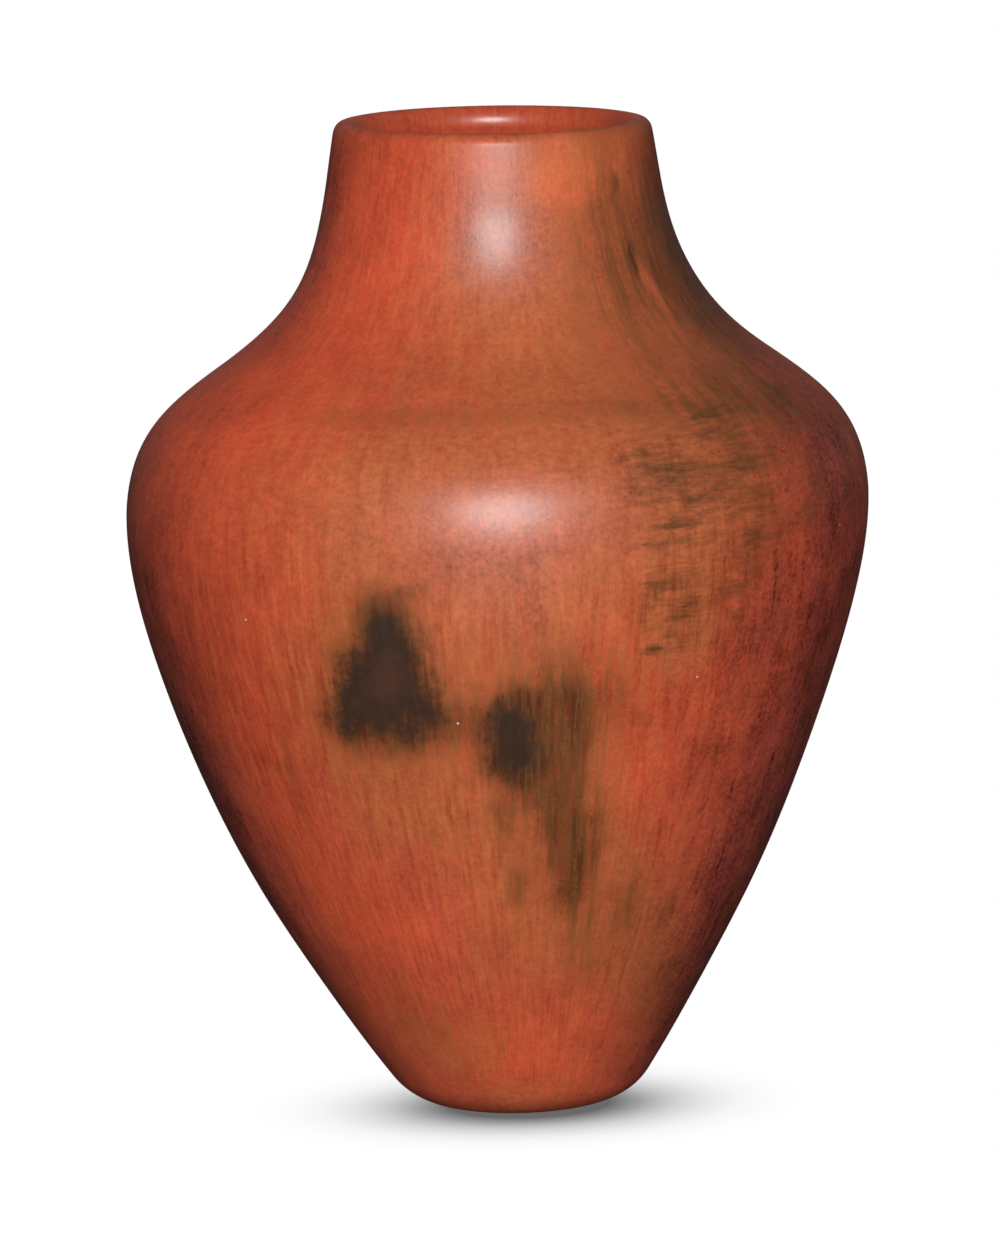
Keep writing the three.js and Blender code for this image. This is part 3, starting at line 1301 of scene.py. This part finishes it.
@dataclass(frozen=True)
class ViewCamera:
    """The camera, a long lens a little above the shoulder."""

    distance: float = 2.521
    elevation: float = 8.64
    roll: float = -1.79
    aim: tuple[float, float, float] = (-0.0027, 0.0, 0.1573)
    lens: float = 222.6
    sensor: float = 36.0

    def make(self) -> None:
        """Sets up the scene's camera."""
        data = bpy.data.cameras.new("view_camera")
        data.lens, data.sensor_width = self.lens, self.sensor
        camera = add_object(data)
        back = view_from(0.0, self.elevation)
        level = Vector((1.0, 0.0, 0.0))
        upright = back.cross(level)
        turn = math.radians(self.roll)
        right = level * math.cos(turn) + upright * math.sin(turn)
        up = upright * math.cos(turn) - level * math.sin(turn)
        turned = Matrix((right, up, back)).transposed().to_4x4()
        camera.matrix_world = Matrix.Translation(Vector(self.aim) + back * self.distance) @ turned
        bpy.context.scene.camera = camera


@dataclass(frozen=True)
class SoftLight:
    """A soft oval light that faces the vase."""

    name: str
    azimuth: float
    elevation: float
    distance: float
    width: float
    height: float
    power: float
    mirrored: bool = True  # whether the polish shows it
    aim: tuple[float, float, float] = (0.0, 0.0, 0.22)

    def make(self) -> None:
        """Hangs the light."""
        data = bpy.data.lights.new(self.name, "AREA")
        data.shape = "ELLIPSE"
        data.size, data.size_y, data.energy = self.width, self.height, self.power
        light = add_object(data)
        way = view_from(self.azimuth, self.elevation)
        light.location = Vector(self.aim) + way * self.distance
        light.rotation_euler = way.to_track_quat("Z", "Y").to_euler()
        light.visible_camera = False
        light.visible_glossy = self.mirrored


@dataclass(frozen=True)
class Studio:
    """A white sweep that only the camera sees, soft lights, and dim surroundings for the polish to mirror."""

    sweep_radius: float = 8.0
    sweep_section: tuple[tuple[float, float], ...] = (  # radius and height as shares of the sweep's radius
        (0.0, 0.0),
        (0.7, 0.0),
        (0.92, 0.08),
        (1.0, 0.3),
        (0.95, 0.7),
        (0.6, 0.95),
        (0.0, 1.0),
    )
    sweep_turns: int = 48
    floor_drop: float = 0.0004
    shade_centre: tuple[float, float, float] = (0.002, -0.011, 0.0)
    shade_stretch: float = 1.25  # the shade is narrower from front to back
    shade_stops: Stops = (
        (0.026, 0.14),
        (0.036, 0.35),
        (0.042, 0.5),
        (0.049, 0.65),
        (0.059, 0.81),
        (0.069, 0.92),
        (0.08, 0.975),
        (0.092, 1.0),
    )
    room_stops: Stops = ((0.0, 0.01), (0.4, 0.02), (0.55, 0.075), (1.0, 0.06))  # from below to above
    lights: tuple[SoftLight, ...] = (
        SoftLight("key_light", 1.6, 20.0, 3.2, 1.35, 1.35, 94.0),
        SoftLight("front_fill", 0.0, -14.0, 1.8, 1.2, 0.8, 10.0, mirrored=False),
        SoftLight("back_fill", 180.0, 12.0, 1.8, 0.9, 0.8, 20.0, mirrored=False),
        SoftLight("back_light", 180.0, 58.0, 1.8, 0.6, 0.45, 4.0, mirrored=False),
    )

    def make_sweep(self) -> None:
        """Floor and backdrop as one turned bowl, shaded softly where the vase stands."""
        bowl = bmesh.new()
        section = ((share * self.sweep_radius for share in at) for at in self.sweep_section)
        points = [bowl.verts.new((radius, 0.0, height)) for radius, height in section]
        turn_round(bowl, points, False, self.sweep_turns)
        bmesh.ops.reverse_faces(bowl, faces=bowl.faces)
        bmesh.ops.translate(bowl, verts=bowl.verts, vec=(0.0, 0.0, -self.floor_drop))
        sweep = add_mesh("white_sweep", bowl)
        sweep.visible_diffuse = sweep.visible_glossy = sweep.visible_shadow = False
        sweep.visible_transmission = False
        sweep.data.materials.append(self.sweep_finish())

    def sweep_finish(self) -> bpy.types.Material:
        """White that falls off to a soft shade beside the vase.

        Returns:
            The material.
        """
        made = bpy.data.materials.new("white_sweep")
        made.use_nodes = True
        shader = Shader(made.node_tree)
        place = shader.field(shader.node("ShaderNodeTexCoord"), "Object")
        moved = shader.node(
            "ShaderNodeMapping",
            {"vector_type": "TEXTURE"},
            {"Vector": place, "Location": self.shade_centre, "Scale": (1.0, 1.0 / self.shade_stretch, 1.0)},
        )
        reach = shader.node("ShaderNodeVectorMath", {"operation": "LENGTH"}, {0: shader.field(moved)})
        edge = self.shade_stops[-1][0]
        stops = [(radius / edge, grey) for radius, grey in self.shade_stops]
        away = shader.field(reach, "Value") * (1 / edge)
        shade = shader.node("ShaderNodeValToRGB", {"stops": stops}, {"Fac": away})
        glow = shader.node("ShaderNodeEmission", None, {"Color": shader.field(shade), "Strength": 1.0})
        shader.node("ShaderNodeOutputMaterial", None, {"Surface": shader.field(glow)})
        return made

    def make_surroundings(self) -> None:
        """Dim light from above and dark below."""
        world = bpy.data.worlds.new("dim_room")
        world.use_nodes = True
        bpy.context.scene.world = world
        shader = Shader(world.node_tree)
        place = shader.field(shader.node("ShaderNodeTexCoord"), "Generated")
        height = shader.field(shader.node("ShaderNodeSeparateXYZ", None, {"Vector": place}), "Z")
        stops = {"stops": self.room_stops}
        grey = shader.node("ShaderNodeValToRGB", stops, {"Fac": height * 0.5 + 0.5})
        glow = shader.node("ShaderNodeBackground", None, {"Color": shader.field(grey), "Strength": 1.0})
        shader.node("ShaderNodeOutputWorld", None, {"Surface": shader.field(glow)})

    def make(self) -> None:
        """Sets up the floor, the lights and the picture's plain tone curve."""
        self.make_sweep()
        self.make_surroundings()
        for light in self.lights:
            light.make()
        bpy.context.scene.view_settings.view_transform = "Standard"
        bpy.context.scene.view_settings.look = "None"


def main() -> None:
    """Builds the vase, the camera and the studio."""
    logging.basicConfig(level=logging.INFO, format="%(name)s: %(message)s")
    ViewCamera().make()
    Vase().make()
    Studio().make()


if __name__ == "__main__":
    main()
